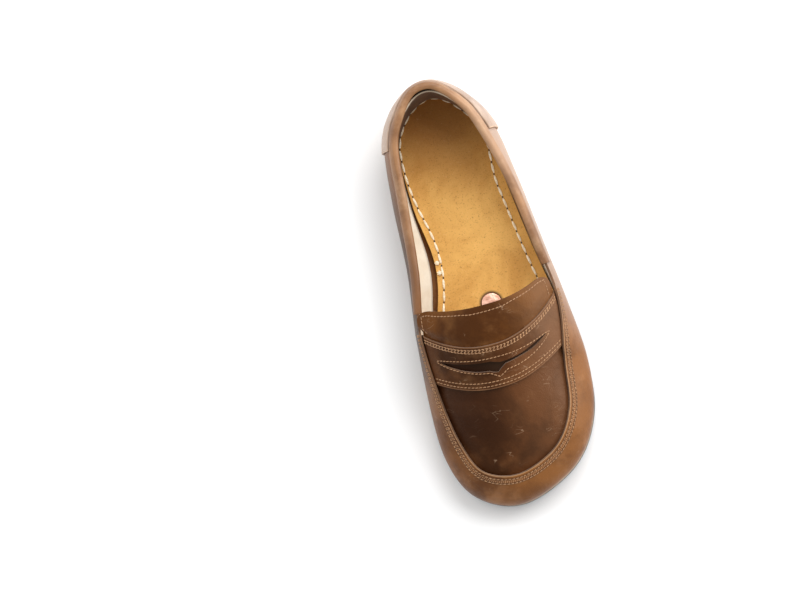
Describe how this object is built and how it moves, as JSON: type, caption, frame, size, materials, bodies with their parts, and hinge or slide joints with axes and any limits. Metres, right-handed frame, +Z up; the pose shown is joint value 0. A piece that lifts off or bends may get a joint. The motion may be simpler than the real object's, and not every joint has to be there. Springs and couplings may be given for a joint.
{
  "type": "penny loafer",
  "caption": "Handmade flat-soled penny loafer for the left foot: moccasin apron, slotted saddle strap, lifting tongue, rolled topline binding and hand-sewn leather insole with a copper rivet.",
  "frame": {"origin": "on the ground under the middle of the shoe's length and width; the outsole's flat bottom is z = 0", "axes": "+Z up, -Y towards the toe, +Y towards the heel, -X towards the big-toe side, +X towards the little-toe side"},
  "size_m": [0.1002, 0.2602, 0.0644],
  "materials": {
    "tan_leather": "satin, pull-up marks",
    "dark_leather": "satin, darker brown",
    "heel_leather": "satin",
    "cream_leather": "soft unfinished",
    "grip_leather": "soft unfinished",
    "insole_leather": "waxed vegetable tan",
    "sole_leather": "raw cut edge",
    "sole_rubber": "matte",
    "cork": "granular cork",
    "board": "stiff fibre board",
    "copper": "satin copper",
    "waxed_thread": "waxed linen, cream",
    "brown_thread": "machine thread, light tan"
  },
  "bodies": {
    "shoe": {"outsole": "sole_rubber", "midsole": "sole_leather", "cork_filler": "cork", "insole": "insole_leather", "copper_rivet": "copper", "rivet_burr": "copper", "vamp_quarters": "tan_leather", "quarter_lining": "cream_leather", "heel_counter": "board", "toe_puff": "board", "heel_grip": "grip_leather", "heel_cap": "heel_leather", "topline_binding": "heel_leather", "apron": "dark_leather", "vamp_lining": "cream_leather", "saddle_strap": "dark_leather", "insole_stitching": "waxed_thread", "moc_seam_stitching": "brown_thread", "strap_front_stitching": "brown_thread", "strap_rear_stitching": "brown_thread", "slot_stitching": "brown_thread"},
    "tongue": {"tongue": "dark_leather", "tongue_lining": "cream_leather", "tongue_stitching": "brown_thread"}
  },
  "joints": [
    {"name": "tongue_lift", "type": "hinge", "parent": "shoe", "child": "tongue", "pos_m": [0, -0.0312, 0.0601], "axis": [1, 0, 0], "range_deg": [0, 45], "stiffness_Nm_per_rad": 0.01}
  ]
}
